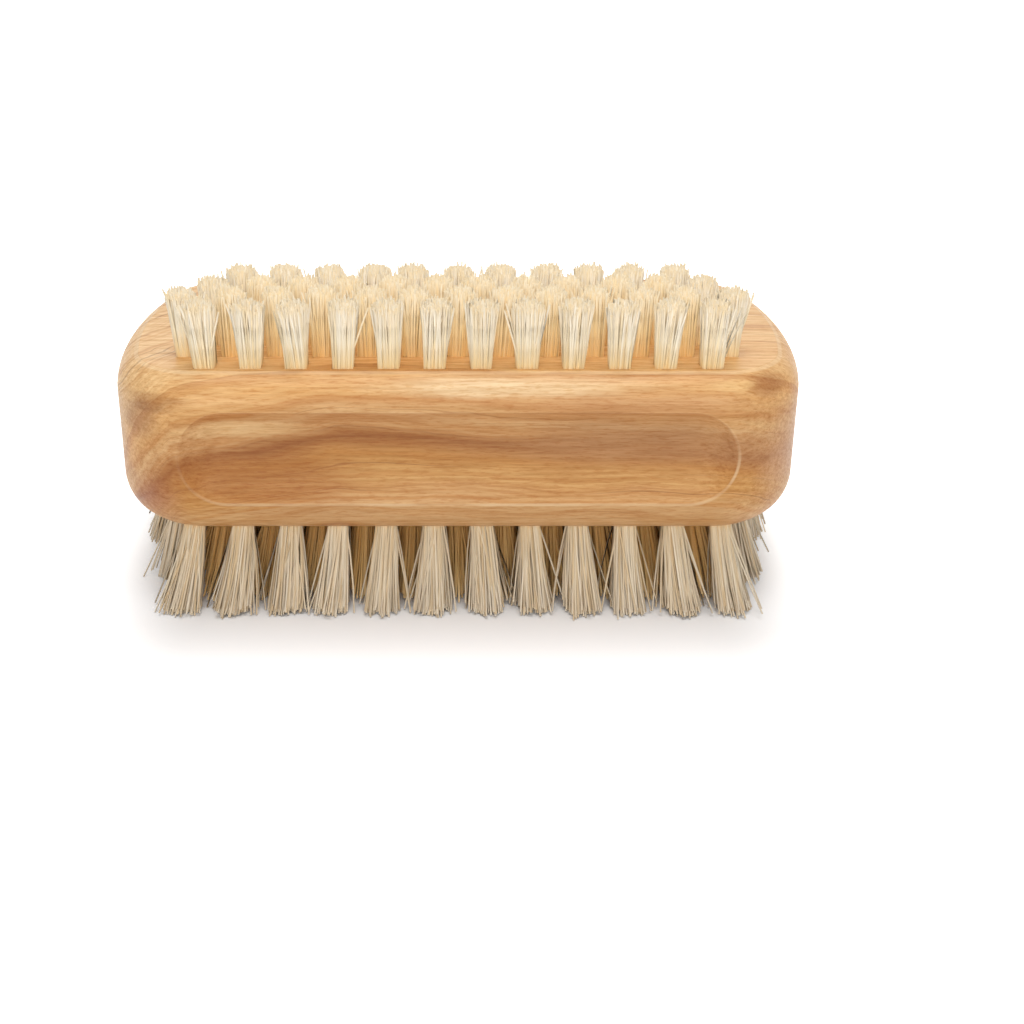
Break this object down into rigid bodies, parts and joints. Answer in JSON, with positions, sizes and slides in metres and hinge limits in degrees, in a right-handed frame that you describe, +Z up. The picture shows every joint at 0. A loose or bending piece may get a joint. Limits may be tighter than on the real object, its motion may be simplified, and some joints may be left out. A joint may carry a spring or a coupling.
{
  "type": "nail brush",
  "caption": "Two-sided hand brush: a rounded wooden block with finger grooves in its long sides and rows of natural bristle tufts set in both faces.",
  "frame": {"origin": "on the surface that the brush stands on, under the middle of the block", "axes": "+X along the block, +Z up from the lower tips to the upper tips, the front side towards -Y"},
  "size_m": [0.0888, 0.0456, 0.0393],
  "materials": {
    "wood": "oiled, satin",
    "top_bristle": "pale natural bristle",
    "bottom_bristle": "greyer natural bristle",
    "anchor_wire": "drawn flat wire"
  },
  "bodies": {
    "root": {"block": "wood", "top_row_1_tufts": "top_bristle", "top_row_1_anchors": "anchor_wire", "top_row_2_tufts": "top_bristle", "top_row_2_anchors": "anchor_wire", "top_row_3_tufts": "top_bristle", "top_row_3_anchors": "anchor_wire", "top_row_4_tufts": "top_bristle", "top_row_4_anchors": "anchor_wire", "bottom_row_1_tufts": "bottom_bristle", "bottom_row_1_anchors": "anchor_wire", "bottom_row_2_tufts": "bottom_bristle", "bottom_row_2_anchors": "anchor_wire", "bottom_row_3_tufts": "bottom_bristle", "bottom_row_3_anchors": "anchor_wire", "bottom_row_4_tufts": "bottom_bristle", "bottom_row_4_anchors": "anchor_wire", "bottom_row_5_tufts": "bottom_bristle", "bottom_row_5_anchors": "anchor_wire"}
  },
  "joints": []
}
